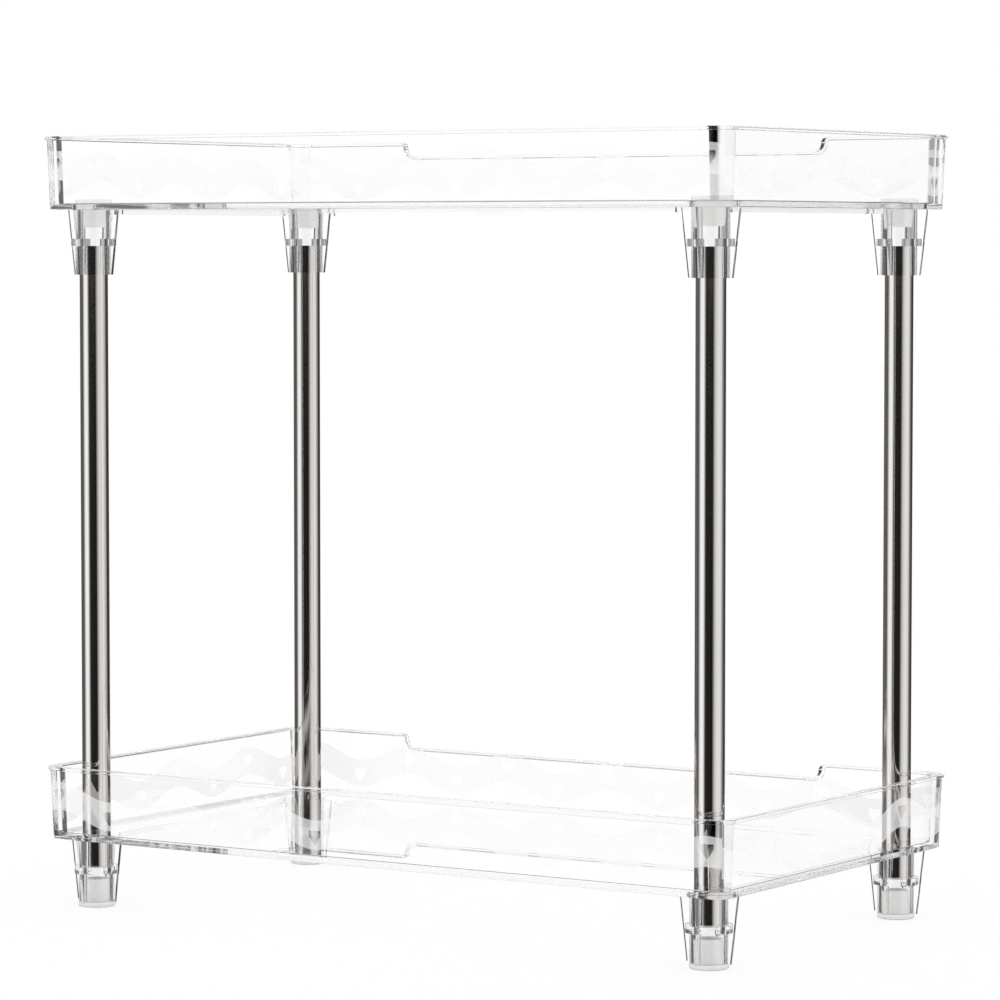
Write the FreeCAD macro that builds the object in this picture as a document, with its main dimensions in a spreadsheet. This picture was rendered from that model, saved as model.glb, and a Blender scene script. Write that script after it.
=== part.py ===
"""Two-tier vanity organizer: two clear moulded trays on four steel tubes, with soft plugs as feet and caps.

Millimetres, +Z up, X along the long side. The origin is the centre of the footprint, on the surface that
the feet stand on. Both trays come from one mould: the long wall on the +Y side has a lowered middle.
"""
import FreeCAD
import Part
import Sketcher
import math
import os
import re

# Driving dimensions, in millimetres and degrees
SIZES = {
    # tray, measured over the rim lip and from the floor's underside
    "tray_length": 277.7,
    "tray_width": 156.3,
    "tray_height": 25.6,
    "wall": 2.4,
    "floor_thickness": 2.0,
    "draft_angle": 2.5,
    # corners in plan: outside at the floor's underside, inside at the floor's top
    "corner_radius": 5.0,
    "inside_corner_radius": 4.5,
    "rim_reach": 0.7,
    "rim_height": 1.3,
    # rounding of the lip's, the wall's and the floor's edges
    "edge_rounding": 0.4,
    # lowered middle of the rim in the +Y wall, from the tray's ends
    "dip_end_distance": 50.85,
    "dip_depth": 5.0,
    "dip_upper_radius": 2.0,
    # legs, from the tray's sides to each leg's axis
    "leg_inset": 14.0,
    "tube_diameter": 10.0,
    "tube_wall": 0.5,
    "tube_length": 218.0,
    "tube_clearance": 0.05,
    # socket under each corner of a tray: a bore from above, a stop ledge, a bore from below
    "upper_bore_depth": 10.0,
    "ledge_thickness": 2.5,
    "ledge_hole_diameter": 7.4,
    "lower_bore_depth": 10.0,
    "sleeve_diameter": 12.8,
    "collar_diameter": 15.8,
    "fin_top_span": 21.6,
    "fin_bottom_span": 16.2,
    "fin_thickness": 1.2,
    # low rib under the floor, in line with the fins
    "rib_height": 1.5,
    "rib_gap": 2.2,
    # soft plug: a flange, a tapered body and a blind core
    "plug_flange_diameter": 13.0,
    "plug_flange_thickness": 1.8,
    "plug_rounding": 0.6,
    "plug_tip_diameter": 8.7,
    "plug_length": 8.0,
    "plug_core_diameter": 4.2,
    "plug_core_depth": 6.5,
    # how far cutting outlines run past what they cut
    "overrun": 5.0,
}

# Formulas of size names, in a tray's own frame: height zero is the underside of its floor
HALF_LONG = "(tray_length / 2 - leg_inset)"
HALF_SHORT = "(tray_width / 2 - leg_inset)"
BORE_RADIUS = "tube_diameter / 2 + tube_clearance"
SOCKET_REACH = "(upper_bore_depth + ledge_thickness + lower_bore_depth)"
WALL_SET_BACK = "(rim_reach + tray_height * tan(draft_angle))"
FLOOR_SET_BACK = "(rim_reach + (tray_height - floor_thickness) * tan(draft_angle) + wall)"
RIM_ROOT = "(rim_reach + wall / 2)"
RIM_RADIUS = "(corner_radius + tray_height * tan(draft_angle) + rim_reach)"
RIM_UNDERSIDE = "(tray_height - rim_height)"
INSIDE_TOP_RADIUS = "(inside_corner_radius + (tray_height - floor_thickness) * tan(draft_angle))"
DIP_HALF_LENGTH = "(tray_length / 2 - dip_end_distance)"
DIP_LOWER_RADIUS = "(dip_depth - dip_upper_radius)"

# Heights of each tray's floor underside and of the tubes' lower ends above the surface
LOWER_TRAY_HEIGHT = f"plug_flange_thickness + {SOCKET_REACH}"
TUBE_HEIGHT = f"{LOWER_TRAY_HEIGHT} - upper_bore_depth"
UPPER_TRAY_HEIGHT = f"{LOWER_TRAY_HEIGHT} + tube_length + ledge_thickness"
CAP_HEIGHT = f"{UPPER_TRAY_HEIGHT} + floor_thickness"

CORNERS = {
    "front_left": ("-", "-"),
    "front_right": ("", "-"),
    "back_left": ("-", ""),
    "back_right": ("", ""),
}
MATH_WORDS = ("tan",)
MATCH_TOLERANCE = 1e-6
QUARTER_TURN = math.pi / 2
HALF_TURN_DEGREES = math.degrees(math.pi)
ORIGIN = (-1, 1)
X_AXIS, Y_AXIS = -1, -2
START, END, CENTRE = 1, 2, 3

doc = FreeCAD.newDocument("VanityOrganizer")


def make_sheet():
    """Puts the driving dimensions in a spreadsheet, one aliased cell each."""
    sheet = doc.addObject("Spreadsheet::Sheet", "Sizes")
    for row, (name, value) in enumerate(SIZES.items(), start=1):
        sheet.set(f"A{row}", name)
        sheet.set(f"B{row}", str(value))
        sheet.setAlias(f"B{row}", name)
    doc.recompute()
    return sheet


def formula(text):
    """Turns each size name in a formula into a reference to its cell."""
    def cell(match):
        word = match.group()
        return word if word in MATH_WORDS else f"Sizes.{word}"
    return re.sub(r"[a-z_]+", cell, text)


def value_of(text):
    """The present value of a formula."""
    return float(sheet.evalExpression(formula(text)))


def point(x_text, y_text):
    """A point in a sketch from two formulas."""
    return FreeCAD.Vector(value_of(x_text), value_of(y_text), 0)


def new_sketch(body, name, plane, offset="0"):
    """A sketch on one of the body's origin planes, moved along the plane's normal by a formula."""
    sketch = body.newObject("Sketcher::SketchObject", name)
    support = next(item for item in body.Origin.OriginFeatures if item.Role == plane)
    sketch.AttachmentSupport = (support, [""])
    sketch.MapMode = "FlatFace"
    sketch.setExpression("AttachmentOffset.Base.z", formula(offset))
    return sketch


def drive(sketch, constraint, text):
    """Adds a constraint whose value follows a formula."""
    index = sketch.addConstraint(constraint)
    sketch.setExpression(f"Constraints[{index}]", formula(text))


def fix_point(sketch, line, vertex, x_text, y_text):
    """Ties a vertex to two formulas, measured from the sketch's origin."""
    for kind, axis, text in (("DistanceX", Y_AXIS, x_text), ("DistanceY", X_AXIS, y_text)):
        value = value_of(text)
        if value > 0:
            drive(sketch, Sketcher.Constraint(kind, *ORIGIN, line, vertex, value), text)
        elif value < 0:
            drive(sketch, Sketcher.Constraint(kind, line, vertex, *ORIGIN, -value), f"-({text})")
        else:
            sketch.addConstraint(Sketcher.Constraint("PointOnObject", line, vertex, axis))


def join(sketch, first, first_vertex, second, second_vertex):
    """Makes two vertices one."""
    sketch.addConstraint(Sketcher.Constraint("Coincident", first, first_vertex, second, second_vertex))


def polygon(sketch, corners):
    """Draws a closed outline of straight lines through corners, each a pair of formulas."""
    points = [point(*corner) for corner in corners]
    lines = [
        sketch.addGeometry(Part.LineSegment(start, end))
        for start, end in zip(points, points[1:] + points[:1])
    ]
    for line, following in zip(lines, lines[1:] + lines[:1]):
        join(sketch, line, END, following, START)
    for line, corner in zip(lines, corners):
        fix_point(sketch, line, START, *corner)


def circle(sketch, x_text, y_text, radius):
    """Draws a circle from formulas for its centre and radius."""
    shape = Part.Circle(point(x_text, y_text), FreeCAD.Vector(0, 0, 1), value_of(radius))
    index = sketch.addGeometry(shape)
    fix_point(sketch, index, CENTRE, x_text, y_text)
    drive(sketch, Sketcher.Constraint("Radius", index, value_of(radius)), radius)


def leg_circles(sketch, radius):
    """Draws the same circle round each leg's axis."""
    for x_sign, y_sign in CORNERS.values():
        circle(sketch, x_sign + HALF_LONG, y_sign + HALF_SHORT, radius)


def quarter_arc(sketch, x_text, y_text, radius, quadrant, joined=False):
    """Draws a quarter circle in quadrant 0 to 3, counted anticlockwise from +X, and returns its index.

    A joined arc takes its radius from the arc that its level end is joined to.
    """
    ring = Part.Circle(point(x_text, y_text), FreeCAD.Vector(0, 0, 1), value_of(radius))
    arc = Part.ArcOfCircle(ring, quadrant * QUARTER_TURN, (quadrant + 1) * QUARTER_TURN)
    index = sketch.addGeometry(arc)
    level, upright = (START, END) if quadrant % 2 == 0 else (END, START)
    fix_point(sketch, index, CENTRE, x_text, y_text)
    sketch.addConstraint(Sketcher.Constraint("Vertical", index, CENTRE, index, upright))
    if not joined:
        sketch.addConstraint(Sketcher.Constraint("Horizontal", index, CENTRE, index, level))
        drive(sketch, Sketcher.Constraint("Radius", index, value_of(radius)), radius)
    return index


def bridge(sketch, first, first_vertex, second, second_vertex):
    """Joins two vertices by a straight line and returns its index."""
    start = sketch.getPoint(first, first_vertex)
    end = sketch.getPoint(second, second_vertex)
    line = sketch.addGeometry(Part.LineSegment(start, end))
    join(sketch, first, first_vertex, line, START)
    join(sketch, line, END, second, second_vertex)
    return line


def rounded_rectangle(sketch, length, width, radius):
    """Draws a rectangle with round corners, centred on the sketch's origin."""
    along = f"({length}) / 2 - ({radius})"
    across = f"({width}) / 2 - ({radius})"
    arcs = [
        quarter_arc(sketch, along, across, radius, 0),
        quarter_arc(sketch, f"-({along})", across, radius, 1),
        quarter_arc(sketch, f"-({along})", f"-({across})", radius, 2),
        quarter_arc(sketch, along, f"-({across})", radius, 3),
    ]
    for arc, following in zip(arcs, arcs[1:] + arcs[:1]):
        bridge(sketch, arc, END, following, START)


def extrude(body, kind, name, sketch, length, reverse=False, symmetric=False, taper="0"):
    """Adds a Pad or a Pocket whose length and taper follow formulas."""
    feature = body.newObject(f"PartDesign::{kind}", name)
    feature.Profile = sketch
    feature.Reversed = reverse
    feature.SideType = "Symmetric" if symmetric else "One side"
    feature.setExpression("Length", formula(length))
    feature.setExpression("TaperAngle", formula(taper))
    return feature


def circle_edge(shape, radius, height):
    """The name of a circular edge with this radius and height."""
    for number, edge in enumerate(shape.Edges, start=1):
        if not isinstance(edge.Curve, Part.Circle):
            continue
        same_radius = abs(edge.Curve.Radius - value_of(radius)) < MATCH_TOLERANCE
        same_height = abs(edge.Curve.Center.z - value_of(height)) < MATCH_TOLERANCE
        if same_radius and same_height:
            return f"Edge{number}"
    raise RuntimeError("no circular edge of that size")


def round_edges(body, name, base, circles, radius):
    """Rounds the edges that run on smoothly from circles, each a pair of formulas for radius and height."""
    doc.recompute()
    feature = body.newObject("PartDesign::Fillet", name)
    feature.Base = (base, [circle_edge(base.Shape, *circle_sizes) for circle_sizes in circles])
    feature.setExpression("Radius", formula(radius))


def add_shell(body):
    """The tray's floor and its four drafted walls."""
    outline = new_sketch(body, "FloorOutline", "XY_Plane")
    rounded_rectangle(
        outline, f"tray_length - 2 * {WALL_SET_BACK}", f"tray_width - 2 * {WALL_SET_BACK}", "corner_radius"
    )
    extrude(body, "Pad", "Block", outline, "tray_height", taper="draft_angle")
    inside = new_sketch(body, "InsideOutline", "XY_Plane", "floor_thickness")
    rounded_rectangle(
        inside,
        f"tray_length - 2 * {FLOOR_SET_BACK}",
        f"tray_width - 2 * {FLOOR_SET_BACK}",
        "inside_corner_radius",
    )
    extrude(
        body, "Pocket", "Inside", inside, "tray_height - floor_thickness", reverse=True, taper="draft_angle"
    )


def dip_curve(sketch, upper_radius, lower_radius):
    """Draws the lowered middle of the rim: a level run between two S-bends. Returns its outer arcs."""
    upper_x = f"({DIP_HALF_LENGTH} + dip_upper_radius)"
    lower_x = f"({DIP_HALF_LENGTH} - {DIP_LOWER_RADIUS})"
    height = "tray_height - dip_upper_radius"
    left_upper = quarter_arc(sketch, f"-{upper_x}", height, upper_radius, 0)
    left_lower = quarter_arc(sketch, f"-{lower_x}", height, lower_radius, 2, joined=True)
    right_lower = quarter_arc(sketch, lower_x, height, lower_radius, 3, joined=True)
    right_upper = quarter_arc(sketch, upper_x, height, upper_radius, 1)
    join(sketch, left_upper, START, left_lower, START)
    bridge(sketch, left_lower, END, right_lower, START)
    join(sketch, right_lower, END, right_upper, END)
    return left_upper, right_upper


def add_rim(body):
    """The outward lip round the rim, and the dip in the +Y wall with the lip carried along it."""
    ring = new_sketch(body, "RimOutline", "XY_Plane", RIM_UNDERSIDE)
    rounded_rectangle(ring, "tray_length", "tray_width", RIM_RADIUS)
    rounded_rectangle(
        ring, f"tray_length - 2 * {RIM_ROOT}", f"tray_width - 2 * {RIM_ROOT}", f"{RIM_RADIUS} - {RIM_ROOT}"
    )
    extrude(body, "Pad", "Rim", ring, "rim_height")

    cut = new_sketch(body, "DipOutline", "XZ_Plane")
    left, right = dip_curve(cut, "dip_upper_radius", DIP_LOWER_RADIUS)
    dip_end = f"({DIP_HALF_LENGTH} + dip_upper_radius)"
    above = "tray_height + overrun"
    top = cut.addGeometry(Part.LineSegment(point(f"-{dip_end}", above), point(dip_end, above)))
    fix_point(cut, top, START, f"-{dip_end}", above)
    fix_point(cut, top, END, dip_end, above)
    bridge(cut, left, END, top, START)
    bridge(cut, top, END, right, START)
    extrude(body, "Pocket", "Dip", cut, "tray_width / 2 + overrun")

    band = new_sketch(body, "DipRimOutline", "XZ_Plane", f"-(tray_width / 2 - {RIM_ROOT})")
    left, right = dip_curve(band, "dip_upper_radius", DIP_LOWER_RADIUS)
    inner_left, inner_right = dip_curve(
        band, "dip_upper_radius - rim_height", f"{DIP_LOWER_RADIUS} + rim_height"
    )
    bridge(band, left, END, inner_left, END)
    bridge(band, right, START, inner_right, START)
    rim = extrude(body, "Pad", "DipRim", band, RIM_ROOT, reverse=True)
    round_edges(body, "TrayRounding", rim, [
        (RIM_RADIUS, "tray_height"),
        (RIM_RADIUS, RIM_UNDERSIDE),
        (INSIDE_TOP_RADIUS, "tray_height"),
        ("inside_corner_radius", "floor_thickness"),
        ("corner_radius", "0"),
    ], "edge_rounding")


def fin_and_rib_outlines(sketch, half_spacing):
    """Draws the tapered fin pair of the two sockets in one row, and the low rib between them."""
    reach = f"-{SOCKET_REACH}"
    for side in ("", "-"):
        axis = f"{side}{half_spacing}"
        polygon(sketch, [
            (f"{axis} - fin_top_span / 2", "0"),
            (f"{axis} - fin_bottom_span / 2", reach),
            (f"{axis} + fin_bottom_span / 2", reach),
            (f"{axis} + fin_top_span / 2", "0"),
        ])
    rib_end = f"({half_spacing} - fin_top_span / 2 - rib_gap)"
    polygon(sketch, [
        (f"-{rib_end}", "0"),
        (f"-{rib_end}", "-rib_height"),
        (rib_end, "-rib_height"),
        (rib_end, "0"),
    ])


def add_sockets(body):
    """A sleeve with a collar and four tapered fins at each leg, and low ribs between the sockets."""
    sleeves = new_sketch(body, "SleeveCircles", "XY_Plane")
    leg_circles(sleeves, "sleeve_diameter / 2")
    extrude(body, "Pad", "Sleeves", sleeves, SOCKET_REACH, reverse=True)
    collars = new_sketch(body, "CollarCircles", "XY_Plane", "-upper_bore_depth")
    leg_circles(collars, "collar_diameter / 2")
    extrude(body, "Pad", "Collars", collars, "ledge_thickness", reverse=True)
    for side, name in (("", "Plus"), ("-", "Minus")):
        long_row = new_sketch(body, f"LongRow{name}", "XZ_Plane", side + HALF_SHORT)
        fin_and_rib_outlines(long_row, HALF_LONG)
        extrude(body, "Pad", f"LongFins{name}", long_row, "fin_thickness", symmetric=True)
        short_row = new_sketch(body, f"ShortRow{name}", "YZ_Plane", side + HALF_LONG)
        fin_and_rib_outlines(short_row, HALF_SHORT)
        extrude(body, "Pad", f"ShortFins{name}", short_row, "fin_thickness", symmetric=True)


def add_bores(body):
    """The sockets' bores: one from the floor, one from below and a smaller hole in the ledge between."""
    upper = new_sketch(body, "UpperBoreCircles", "XY_Plane", "floor_thickness")
    leg_circles(upper, BORE_RADIUS)
    extrude(body, "Pocket", "UpperBores", upper, "floor_thickness + upper_bore_depth")
    lower = new_sketch(body, "LowerBoreCircles", "XY_Plane", f"-{SOCKET_REACH}")
    leg_circles(lower, BORE_RADIUS)
    extrude(body, "Pocket", "LowerBores", lower, "lower_bore_depth", reverse=True)
    ledge = new_sketch(body, "LedgeCircles", "XY_Plane", "floor_thickness")
    leg_circles(ledge, "ledge_hole_diameter / 2")
    extrude(body, "Pocket", "LedgeHoles", ledge, f"floor_thickness + {SOCKET_REACH}")


def new_body(name, x_text, y_text, z_text):
    """A body whose place follows three formulas."""
    body = doc.addObject("PartDesign::Body", name)
    body.Label = name
    for axis, text in (("x", x_text), ("y", y_text), ("z", z_text)):
        body.setExpression(f"Placement.Base.{axis}", formula(text))
    return body


def make_tray(name, height):
    """One clear tray, moulded in one piece with its sockets."""
    body = new_body(name, "0", "0", height)
    add_shell(body)
    add_rim(body)
    add_sockets(body)
    add_bores(body)
    return body


def make_tube(name, x_text, y_text):
    """One polished tube, standing on the ledge of its lower socket."""
    body = new_body(name, x_text, y_text, TUBE_HEIGHT)
    rings = new_sketch(body, "TubeCircles", "XY_Plane")
    circle(rings, "0", "0", "tube_diameter / 2")
    circle(rings, "0", "0", "tube_diameter / 2 - tube_wall")
    extrude(body, "Pad", "Tube", rings, "tube_length")
    return body


def make_plug(name, x_text, y_text, z_text, flipped):
    """One soft plug: its flange lies on the socket's end and its body points into the bore."""
    body = new_body(name, x_text, y_text, z_text)
    if flipped:
        upside_down = FreeCAD.Rotation(FreeCAD.Vector(1, 0, 0), HALF_TURN_DEGREES)
        body.Placement = FreeCAD.Placement(FreeCAD.Vector(), upside_down)
    profile = new_sketch(body, "PlugProfile", "XZ_Plane")
    polygon(profile, [
        ("0", "-plug_flange_thickness"),
        ("plug_flange_diameter / 2", "-plug_flange_thickness"),
        ("plug_flange_diameter / 2", "0"),
        ("tube_diameter / 2", "0"),
        ("plug_tip_diameter / 2", "plug_length"),
        ("plug_core_diameter / 2", "plug_length"),
        ("plug_core_diameter / 2", "plug_length - plug_core_depth"),
        ("0", "plug_length - plug_core_depth"),
    ])
    turned = body.newObject("PartDesign::Revolution", "Turned")
    turned.Profile = profile
    turned.ReferenceAxis = (profile, ["V_Axis"])
    flange_edge = ("plug_flange_diameter / 2", "-plug_flange_thickness")
    round_edges(body, "PlugRounding", turned, [flange_edge], "plug_rounding")
    return body


def check_document(bodies):
    """Stops the build if an object failed, a cut removed nothing or a piece isn't one valid solid."""
    for item in doc.Objects:
        if "Invalid" in item.State or "Error" in item.State:
            raise RuntimeError(f"{item.Label} failed: {item.State}")
        if item.isDerivedFrom("PartDesign::Pocket") and item.Shape.Volume >= item.BaseFeature.Shape.Volume:
            raise RuntimeError(f"{item.Label} cuts nothing")
    for body in bodies:
        if body.Shape.isNull() or not body.Shape.isValid() or len(body.Shape.Solids) != 1:
            raise RuntimeError(f"{body.Label} is not one valid solid")


sheet = make_sheet()
parts = [
    make_tray("lower_tray", LOWER_TRAY_HEIGHT),
    make_tray("upper_tray", UPPER_TRAY_HEIGHT),
]
for corner, (x_sign, y_sign) in CORNERS.items():
    leg = (x_sign + HALF_LONG, y_sign + HALF_SHORT)
    parts.append(make_tube(f"tube_{corner}", *leg))
    parts.append(make_plug(f"foot_{corner}", *leg, "plug_flange_thickness", flipped=False))
    parts.append(make_plug(f"cap_{corner}", *leg, CAP_HEIGHT, flipped=True))
doc.recompute()
check_document(parts)

os.makedirs("parts", exist_ok=True)
for part in parts:
    part.Shape.exportStep(f"parts/{part.Label}.step")
    print(part.Label, part.Shape.Volume)
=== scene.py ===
"""Looks of a two-tier vanity organizer: clear trays, polished tubes and soft plugs in a white studio.

Metres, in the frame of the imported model: X along the long side, +Z up.
"""
import math

import bpy
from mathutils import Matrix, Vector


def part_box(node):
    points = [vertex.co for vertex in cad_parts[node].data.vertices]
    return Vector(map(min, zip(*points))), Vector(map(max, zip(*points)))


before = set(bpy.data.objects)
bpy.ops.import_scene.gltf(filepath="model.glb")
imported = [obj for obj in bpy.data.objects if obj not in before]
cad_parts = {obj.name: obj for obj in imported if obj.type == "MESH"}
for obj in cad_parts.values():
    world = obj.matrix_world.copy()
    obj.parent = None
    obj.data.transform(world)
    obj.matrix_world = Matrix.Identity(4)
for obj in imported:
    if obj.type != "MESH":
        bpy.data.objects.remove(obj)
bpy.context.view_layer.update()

MILLIMETRE = 0.001
FULL_TURN = 360.0
WHITE = (1.0, 1.0, 1.0, 1.0)

# Light Path counts are whole numbers, so these tell none from one and one from more
ONE_BOUNCE = 0.5
MORE_BOUNCES = 1.5

# Camera, at the photograph's viewing angle, with its lens and sensor in millimetres
CAMERA_PLACE = (0.8417, -1.2945, 0.2342)
CAMERA_TURN = math.radians(32.94)
CAMERA_TILT = math.radians(3.34)
FOCAL_LENGTH = 160.06
SENSOR_WIDTH = 36.0

# Studio walls as mirror images show them: degrees from the way to the camera,
# with the photograph's right as positive, and the brightness there
STUDIO_RING = [
    (-180, 1.00),
    (-166, 1.00),
    (-158, 0.12),
    (-100, 0.10),
    (-90, 0.45),
    (-78, 1.05),
    (-56, 1.05),
    (-48, 0.60),
    (-40, 0.08),
    (-33, 0.02),
    (15, 0.012),
    (28, 0.45),
    (36, 0.70),
    (62, 0.92),
    (85, 0.82),
    (96, 0.42),
    (106, 0.13),
    (120, 0.045),
    (158, 0.05),
    (166, 1.00),
    (180, 1.00),
]
# Above the level, mirror images in flat faces show a white ceiling, which fades in over this rise
CEILING_FADE = 0.03
# Pale panels behind the object as light bent by the plastic sees them: the azimuth of the view that each
# one stands behind, in degrees from -Y, and its brightness
PALE_PANELS = (
    (0, 0.5),
    (34, 1.0),
    (90, 0.5),
    (135, 1.0),
    (180, 0.8),
    (225, 1.0),
    (270, 0.8),
    (315, 1.0),
)
PANEL_HALF_WIDTH = 9.0
PANEL_FADE = 4.0
GAP_BRIGHTNESS = 0.35
DIFFUSE_LIGHT = 1.04
FLOOR_SIZE = 8.0
FLOOR_COLOUR = (0.93, 0.93, 0.93, 1.0)
SHADOW_COLOUR = (0.36, 0.36, 0.36, 1.0)
SHADOW_GLOW = 0.63
LIGHT_BOUNCES = 32

# Frosted wave on the tray walls: heights above the tray's floor, lengths along the wall
WAVE_PERIOD = 43.8 * MILLIMETRE
WAVE_MIDDLE = 10.5 * MILLIMETRE
WAVE_RISE = 3.0 * MILLIMETRE
WAVE_BAND = 10.3 * MILLIMETRE
DROP_HALF_WIDTH = 2.5 * MILLIMETRE
DROP_HEIGHT = 5.4 * MILLIMETRE
DROP_TAPER = 3.4 * MILLIMETRE
CREST_DROP_FOOT = 10.6 * MILLIMETRE
TROUGH_DROP_FOOT = 3.8 * MILLIMETRE
FROST_EDGE = 0.25 * MILLIMETRE
FROST_COVER = 0.48
FROST_COLOUR = (0.985, 0.985, 0.985, 1.0)
FLOOR_THICKNESS = 2.0 * MILLIMETRE
FLOOR_MARGIN = 0.2 * MILLIMETRE
SOCKET_REACH = 22.5 * MILLIMETRE

# Clear plastic: its refraction, and the strength of the mirror images in its flat walls and its floor
PLASTIC_INDEX = 1.49
PLASTIC_ROUGHNESS = 0.05
WALL_MIRROR_STRENGTH = 0.3
FLOOR_MIRROR_STRENGTH = 1.4

# Flat faces: how little their normals turn from an axis
TURN_LIMIT = 0.03
LEAN_LIMIT = 0.10
LEVEL_LIMIT = 0.999

# Painted shade in the bent inside corners: turn of the normals over which the plastic's colour is painted
# darker, and its tones there
TURN_FULL = 0.10
TURN_FADE = 0.50
TURN_END = 0.68
END_SIDE_SHARE = 0.18
FOOT_SHARE = 0.45
FADE_FOOT = 8.0 * MILLIMETRE
FADE_TOP = 16.0 * MILLIMETRE
PLAIN_TONE = (1.0, 1.0, 1.0)
PAINTED_CORNER_SHADE = (0.0, 0.0, 0.0)

# Polished steel: drawing lines along the tube, and the tones and roughness that they lie between
STEEL_LINE_SCALE = 900.0
STEEL_LINE_STRETCH = (1.0, 1.0, 0.02)
STEEL_TONES = ((0.78, 0.755, 0.735), (0.86, 0.835, 0.815))
STEEL_ROUGHNESS = (0.03, 0.09)

# Soft silicone: a faint cloudiness, the tones and roughness that it lies between, and light scattered inside
CLOUD_SCALE = 400.0
CLOUD_STRETCH = (1.0, 1.0, 1.0)
SILICONE_TONES = ((0.75, 0.74, 0.732), (0.82, 0.813, 0.807))
SILICONE_ROUGHNESS = (0.32, 0.5)
SILICONE_INDEX = 1.41
SCATTER_SHARE = 0.6
SCATTER_COLOUR = (1.0, 0.8, 0.7)
SCATTER_REACH = 4.0 * MILLIMETRE


def set_input(tree, socket, value):
    """Links a socket's value, or sets a plain one."""
    if isinstance(value, bpy.types.NodeSocket):
        tree.links.new(value, socket)
    else:
        socket.default_value = value


def calc(tree, operation, *values):
    """One Math node; returns its output."""
    node = tree.nodes.new("ShaderNodeMath")
    node.operation = operation
    for socket, value in zip(node.inputs, values):
        set_input(tree, socket, value)
    return node.outputs[0]


def smooth_step(tree, value, low, high):
    """0 below low, 1 above high and a smooth rise between."""
    node = tree.nodes.new("ShaderNodeMapRange")
    node.interpolation_type = "SMOOTHSTEP"
    set_input(tree, node.inputs["Value"], value)
    set_input(tree, node.inputs["From Min"], low)
    set_input(tree, node.inputs["From Max"], high)
    return node.outputs["Result"]


def scale_to(tree, value, low, high):
    """Spreads a share from 0 to 1 over a range."""
    node = tree.nodes.new("ShaderNodeMapRange")
    set_input(tree, node.inputs["Value"], value)
    node.inputs["To Min"].default_value = low
    node.inputs["To Max"].default_value = high
    return node.outputs["Result"]


def noise(tree, place, scale, stretch):
    """Noise from 0 to 1 over a place that is stretched per axis."""
    mapping = tree.nodes.new("ShaderNodeMapping")
    tree.links.new(place, mapping.inputs["Vector"])
    mapping.inputs["Scale"].default_value = stretch
    texture = tree.nodes.new("ShaderNodeTexNoise")
    tree.links.new(mapping.outputs["Vector"], texture.inputs["Vector"])
    texture.inputs["Scale"].default_value = scale
    return texture.outputs["Fac"]


def more_than(tree, count, limit):
    """1 where a count is over a limit, else 0."""
    return calc(tree, "GREATER_THAN", count, limit)


def opposite(tree, share):
    """What is left of 1 beside a share."""
    return calc(tree, "SUBTRACT", 1.0, share)


def blend_colours(tree, share, first, second):
    """A colour between two others."""
    ramp = tree.nodes.new("ShaderNodeValToRGB")
    ramp.color_ramp.elements[0].color = (*first, 1.0)
    ramp.color_ramp.elements[1].color = (*second, 1.0)
    tree.links.new(share, ramp.inputs["Fac"])
    return ramp.outputs["Color"]


def mix_shaders(tree, share, first, second):
    """One shader where the share is 0 and another where it is 1."""
    node = tree.nodes.new("ShaderNodeMixShader")
    tree.links.new(share, node.inputs[0])
    tree.links.new(first, node.inputs[1])
    tree.links.new(second, node.inputs[2])
    return node.outputs[0]


def split(tree, vector):
    """The X, Y and Z of a vector."""
    node = tree.nodes.new("ShaderNodeSeparateXYZ")
    tree.links.new(vector, node.inputs[0])
    return node.outputs


def new_material(name):
    """An empty material; returns it with its tree, its shader and the place on the object."""
    material = bpy.data.materials.new(name)
    material.use_nodes = True
    tree = material.node_tree
    shader = tree.nodes["Principled BSDF"]
    place = tree.nodes.new("ShaderNodeTexCoord").outputs["Object"]
    return material, tree, shader, place


def drop_window(tree, offset, height):
    """1 inside a clear drop: flat on top, tapered to a point at its foot."""
    taper = calc(tree, "MINIMUM", calc(tree, "DIVIDE", height, DROP_TAPER), 1.0)
    side = calc(tree, "SUBTRACT", calc(tree, "MULTIPLY", taper, DROP_HALF_WIDTH), offset)
    top = calc(tree, "SUBTRACT", DROP_HEIGHT, height)
    return smooth_step(tree, calc(tree, "MINIMUM", side, top), 0.0, FROST_EDGE)


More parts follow.
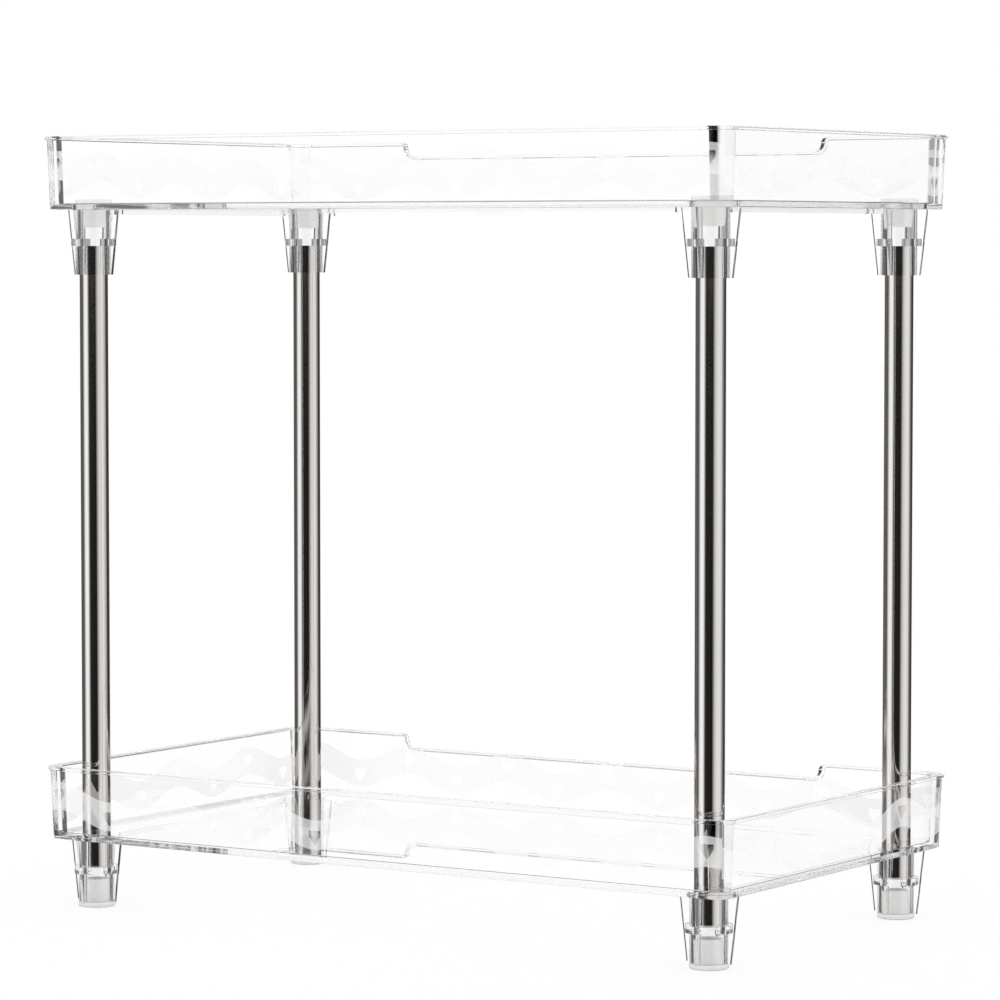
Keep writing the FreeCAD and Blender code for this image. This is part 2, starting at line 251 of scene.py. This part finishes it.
class TraySurface:
    """What the looks of a tray follow: the height over its floor and the turn of its faces."""

    def __init__(self, tree, place, floor_top):
        geometry = tree.nodes.new("ShaderNodeNewGeometry")
        self.tree = tree
        self.axes = split(tree, place)
        self.height = calc(tree, "SUBTRACT", self.axes["Z"], floor_top)
        self.from_within = geometry.outputs["Backfacing"]
        normal = split(tree, geometry.outputs["Normal"])
        self.end_turn = calc(tree, "ABSOLUTE", normal["X"])
        self.long_turn = calc(tree, "ABSOLUTE", normal["Y"])
        self.turn = calc(tree, "MINIMUM", self.end_turn, self.long_turn)
        self.lean = calc(tree, "ABSOLUTE", normal["Z"])
        self.on_end = calc(tree, "GREATER_THAN", self.end_turn, self.long_turn)
        away_x = calc(tree, "MULTIPLY", normal["X"], self.axes["X"])
        away = calc(tree, "MULTIPLY_ADD", normal["Y"], self.axes["Y"], away_x)
        facing = scale_to(tree, self.from_within, 1.0, -1.0)
        self.outside = calc(tree, "GREATER_THAN", calc(tree, "MULTIPLY", away, facing), 0.0)
        self.above_floor = calc(tree, "GREATER_THAN", self.height, 0.0)
        self.level = calc(tree, "GREATER_THAN", self.lean, LEVEL_LIMIT)

    def frost(self):
        """1 where the outside of a wall is frosted: a wave band with clear drops in it."""
        tree = self.tree
        along = tree.nodes.new("ShaderNodeMix")
        tree.links.new(self.on_end, along.inputs["Factor"])
        tree.links.new(self.axes["X"], along.inputs["A"])
        tree.links.new(self.axes["Y"], along.inputs["B"])
        half_period = WAVE_PERIOD / 2
        from_crest = calc(tree, "PINGPONG", along.outputs["Result"], half_period)
        from_trough = calc(tree, "SUBTRACT", half_period, from_crest)
        wave = calc(tree, "COSINE", calc(tree, "MULTIPLY", from_crest, math.pi / half_period))
        middle = calc(tree, "MULTIPLY_ADD", wave, WAVE_RISE, WAVE_MIDDLE)
        off_middle = calc(tree, "ABSOLUTE", calc(tree, "SUBTRACT", self.height, middle))
        band = smooth_step(tree, calc(tree, "SUBTRACT", WAVE_BAND / 2, off_middle), 0.0, FROST_EDGE)
        crest_drop = drop_window(tree, from_crest, calc(tree, "SUBTRACT", self.height, CREST_DROP_FOOT))
        trough_drop = drop_window(tree, from_trough, calc(tree, "SUBTRACT", self.height, TROUGH_DROP_FOOT))
        drops = calc(tree, "MAXIMUM", crest_drop, trough_drop)
        frost = calc(tree, "MULTIPLY", band, opposite(tree, drops))
        return calc(tree, "MULTIPLY", frost, self.outside)

    def panels(self):
        """1 on the flat of the walls, above the floor, and on the flat of the floor."""
        tree = self.tree
        straight = calc(tree, "LESS_THAN", self.turn, TURN_LIMIT)
        upright = calc(tree, "LESS_THAN", self.lean, LEAN_LIMIT)
        wall = calc(tree, "MULTIPLY", straight, calc(tree, "MULTIPLY", upright, self.above_floor))
        off_floor = calc(tree, "ABSOLUTE", calc(tree, "ADD", self.height, FLOOR_THICKNESS / 2))
        at_floor = calc(tree, "LESS_THAN", off_floor, FLOOR_THICKNESS / 2 + FLOOR_MARGIN)
        return calc(tree, "MAXIMUM", wall, calc(tree, "MULTIPLY", self.level, at_floor))

    def corners(self):
        """1 where shade is painted into the bent inside corners, on both sides of their middle."""
        tree = self.tree
        bent = smooth_step(tree, self.turn, TURN_LIMIT, TURN_FULL)
        middle = smooth_step(tree, self.turn, TURN_FADE, TURN_END)
        strips = calc(tree, "MULTIPLY", bent, opposite(tree, middle))
        side = scale_to(tree, self.on_end, 1.0, END_SIDE_SHARE)
        fade = scale_to(tree, smooth_step(tree, self.height, FADE_FOOT, FADE_TOP), FOOT_SHARE, 1.0)
        inside = calc(tree, "SUBTRACT", self.from_within, self.outside)
        shaded_inside_faces = calc(tree, "MULTIPLY", calc(tree, "MAXIMUM", inside, 0.0), self.above_floor)
        shade = calc(tree, "MULTIPLY", strips, calc(tree, "MULTIPLY", side, fade))
        return calc(tree, "MULTIPLY", shaded_inside_faces, shade)


def clear_plastic(name, floor_top):
    """Clear moulded plastic: see-through flat faces, bending edges, shade painted dark into the inside
    corners and a frosted wave on the walls.
    """
    material, tree, shader, place = new_material(name)
    surface = TraySurface(tree, place, floor_top)
    shader.inputs["Transmission Weight"].default_value = 1.0
    shader.inputs["IOR"].default_value = PLASTIC_INDEX
    shader.inputs["Roughness"].default_value = PLASTIC_ROUGHNESS
    # Painted shade: the plastic's colour goes towards black on the inside faces of the bent corners
    painted_shade_tone = blend_colours(tree, surface.corners(), PLAIN_TONE, PAINTED_CORNER_SHADE)
    tree.links.new(painted_shade_tone, shader.inputs["Base Color"])

    window = tree.nodes.new("ShaderNodeBsdfTransparent")
    mirror = tree.nodes.new("ShaderNodeBsdfGlossy")
    mirror.inputs["Color"].default_value = WHITE
    mirror.inputs["Roughness"].default_value = 0.0
    fresnel = tree.nodes.new("ShaderNodeFresnel")
    fresnel.inputs["IOR"].default_value = PLASTIC_INDEX
    strength = scale_to(tree, surface.level, WALL_MIRROR_STRENGTH, FLOOR_MIRROR_STRENGTH)
    from_outside = opposite(tree, surface.from_within)
    gloss = calc(tree, "MULTIPLY", fresnel.outputs[0], calc(tree, "MULTIPLY", strength, from_outside))
    flat = mix_shaders(tree, gloss, window.outputs[0], mirror.outputs[0])

    path = tree.nodes.new("ShaderNodeLightPath")
    unbent = opposite(tree, more_than(tree, path.outputs["Transmission Depth"], ONE_BOUNCE))
    see_through = calc(tree, "MULTIPLY", surface.panels(), unbent)
    clear = mix_shaders(tree, see_through, shader.outputs[0], flat)

    frosted = tree.nodes.new("ShaderNodeBsdfDiffuse")
    frosted.inputs["Color"].default_value = FROST_COLOUR
    frost = scale_to(tree, surface.frost(), 0.0, FROST_COVER)
    seen = mix_shaders(tree, frost, clear, frosted.outputs[0])
    scattered = more_than(tree, path.outputs["Diffuse Depth"], ONE_BOUNCE)
    soft_light = calc(tree, "MAXIMUM", scattered, path.outputs["Is Shadow Ray"])
    total = mix_shaders(tree, soft_light, seen, window.outputs[0])
    tree.links.new(total, tree.nodes["Material Output"].inputs["Surface"])
    return material


def polished_steel():
    """Mirror-polished stainless tube with faint drawing lines along it."""
    material, tree, shader, place = new_material("polished_steel")
    lines = noise(tree, place, STEEL_LINE_SCALE, STEEL_LINE_STRETCH)
    shader.inputs["Metallic"].default_value = 1.0
    tree.links.new(blend_colours(tree, lines, *STEEL_TONES), shader.inputs["Base Color"])
    tree.links.new(scale_to(tree, lines, *STEEL_ROUGHNESS), shader.inputs["Roughness"])
    return material


def soft_silicone():
    """Translucent white silicone with a faint cloudiness."""
    material, tree, shader, place = new_material("soft_silicone")
    cloud = noise(tree, place, CLOUD_SCALE, CLOUD_STRETCH)
    tree.links.new(blend_colours(tree, cloud, *SILICONE_TONES), shader.inputs["Base Color"])
    tree.links.new(scale_to(tree, cloud, *SILICONE_ROUGHNESS), shader.inputs["Roughness"])
    shader.inputs["Subsurface Weight"].default_value = SCATTER_SHARE
    shader.inputs["Subsurface Radius"].default_value = SCATTER_COLOUR
    shader.inputs["Subsurface Scale"].default_value = SCATTER_REACH
    shader.inputs["IOR"].default_value = SILICONE_INDEX
    return material


def dress(names, material):
    """Gives CAD nodes a material."""
    for name in names:
        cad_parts[name].material_slots[0].material = material


def background(tree, brightness):
    """A grey world shader."""
    node = tree.nodes.new("ShaderNodeBackground")
    set_input(tree, node.inputs["Strength"], brightness)
    node.inputs["Color"].default_value = WHITE
    return node.outputs[0]


def ring_brightness(tree, compass):
    """The studio walls as mirror images show them."""
    from_camera = calc(tree, "SUBTRACT", compass, CAMERA_TURN - math.pi / 2)
    wrapped = calc(tree, "WRAP", from_camera, math.pi, -math.pi)
    turn_share = calc(tree, "MULTIPLY_ADD", wrapped, 1 / math.tau, 1 / 2)
    ring = tree.nodes.new("ShaderNodeValToRGB")
    stops = ring.color_ramp.elements
    while len(stops) < len(STUDIO_RING):
        stops.new(1.0)
    for stop, (degrees, brightness) in zip(stops, STUDIO_RING):
        stop.position = degrees / FULL_TURN + 1 / 2
        stop.color = (brightness, brightness, brightness, 1.0)
    tree.links.new(turn_share, ring.inputs["Fac"])
    return ring.outputs["Color"]


def panel_brightness(tree, compass):
    """Pale panels with dark gaps between them, as light bent by the plastic shows them."""
    edge = math.radians(PANEL_HALF_WIDTH)
    faded = edge + math.radians(PANEL_FADE)
    total = GAP_BRIGHTNESS
    for azimuth, brightness in PALE_PANELS:
        turned = calc(tree, "SUBTRACT", compass, math.radians(azimuth) + math.pi / 2)
        off_middle = calc(tree, "ABSOLUTE", calc(tree, "WRAP", turned, math.pi, -math.pi))
        gap = smooth_step(tree, off_middle, edge, faded)
        total = calc(tree, "MAXIMUM", scale_to(tree, gap, brightness, GAP_BRIGHTNESS), total)
    return total


def make_world():
    """White to the eye, a studio of panels and walls to bent and mirrored light, soft to the rest."""
    world = bpy.data.worlds.new("studio")
    bpy.context.scene.world = world
    world.use_nodes = True
    tree = world.node_tree
    tree.nodes.clear()
    direction = split(tree, tree.nodes.new("ShaderNodeTexCoord").outputs["Generated"])
    compass = calc(tree, "ARCTAN2", direction["Y"], direction["X"])
    path = tree.nodes.new("ShaderNodeLightPath")
    mirrored_again = more_than(tree, path.outputs["Glossy Depth"], MORE_BOUNCES)
    bent = more_than(tree, path.outputs["Transmission Depth"], ONE_BOUNCE)
    direct = opposite(tree, calc(tree, "MAXIMUM", mirrored_again, bent))
    ceiling = calc(tree, "MULTIPLY", smooth_step(tree, direction["Z"], 0.0, CEILING_FADE), direct)
    mirrored = calc(tree, "MAXIMUM", ring_brightness(tree, compass), ceiling)
    seen = background(tree, 1.0)
    for kind, brightness in (
        ("Transmission Depth", panel_brightness(tree, compass)),
        ("Glossy Depth", mirrored),
        ("Diffuse Depth", DIFFUSE_LIGHT),
    ):
        met = more_than(tree, path.outputs[kind], ONE_BOUNCE)
        seen = mix_shaders(tree, met, seen, background(tree, brightness))
    output = tree.nodes.new("ShaderNodeOutputWorld")
    tree.links.new(seen, output.inputs["Surface"])


def make_floor():
    """A plain pale floor that takes the object's shadow and stays out of mirror images."""
    half = FLOOR_SIZE / 2
    mesh = bpy.data.meshes.new("studio_floor")
    corners = [(-half, -half, 0), (half, -half, 0), (half, half, 0), (-half, half, 0)]
    mesh.from_pydata(corners, [], [(0, 1, 2, 3)])
    floor = bpy.data.objects.new("studio_floor", mesh)
    bpy.context.scene.collection.objects.link(floor)
    material = bpy.data.materials.new("studio_floor")
    material.use_nodes = True
    tree = material.node_tree
    tree.nodes.clear()
    path = tree.nodes.new("ShaderNodeLightPath")
    matt = tree.nodes.new("ShaderNodeBsdfDiffuse")
    matt.inputs["Color"].default_value = FLOOR_COLOUR
    shadow = tree.nodes.new("ShaderNodeBsdfDiffuse")
    shadow.inputs["Color"].default_value = SHADOW_COLOUR
    glow = tree.nodes.new("ShaderNodeEmission")
    glow.inputs["Strength"].default_value = SHADOW_GLOW
    white = tree.nodes.new("ShaderNodeAddShader")
    tree.links.new(shadow.outputs[0], white.inputs[0])
    tree.links.new(glow.outputs[0], white.inputs[1])
    by_eye = calc(tree, "MAXIMUM", path.outputs["Is Camera Ray"], path.outputs["Is Transmission Ray"])
    seen = mix_shaders(tree, by_eye, matt.outputs[0], white.outputs[0])
    through = tree.nodes.new("ShaderNodeBsdfTransparent")
    mirrored = more_than(tree, path.outputs["Glossy Depth"], ONE_BOUNCE)
    total = mix_shaders(tree, mirrored, seen, through.outputs[0])
    output = tree.nodes.new("ShaderNodeOutputMaterial")
    tree.links.new(total, output.inputs["Surface"])
    mesh.materials.append(material)


def make_camera():
    """The camera, at the photograph's viewing angle."""
    data = bpy.data.cameras.new("camera")
    data.lens = FOCAL_LENGTH
    data.sensor_width = SENSOR_WIDTH
    camera = bpy.data.objects.new("camera", data)
    camera.location = CAMERA_PLACE
    camera.rotation_euler = (math.pi / 2 - CAMERA_TILT, 0, CAMERA_TURN)
    bpy.context.scene.collection.objects.link(camera)
    bpy.context.scene.camera = camera


for tray in ("lower_tray", "upper_tray"):
    floor_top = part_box(tray)[0][2] + SOCKET_REACH + FLOOR_THICKNESS
    dress([tray], clear_plastic(f"clear_{tray}", floor_top))
dress([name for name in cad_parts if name.startswith("tube_")], polished_steel())
dress([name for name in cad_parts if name.startswith(("foot_", "cap_"))], soft_silicone())

make_world()
make_floor()
make_camera()
scene = bpy.context.scene
scene.view_settings.view_transform = "Standard"
scene.cycles.max_bounces = LIGHT_BOUNCES
scene.cycles.glossy_bounces = LIGHT_BOUNCES
scene.cycles.transmission_bounces = LIGHT_BOUNCES
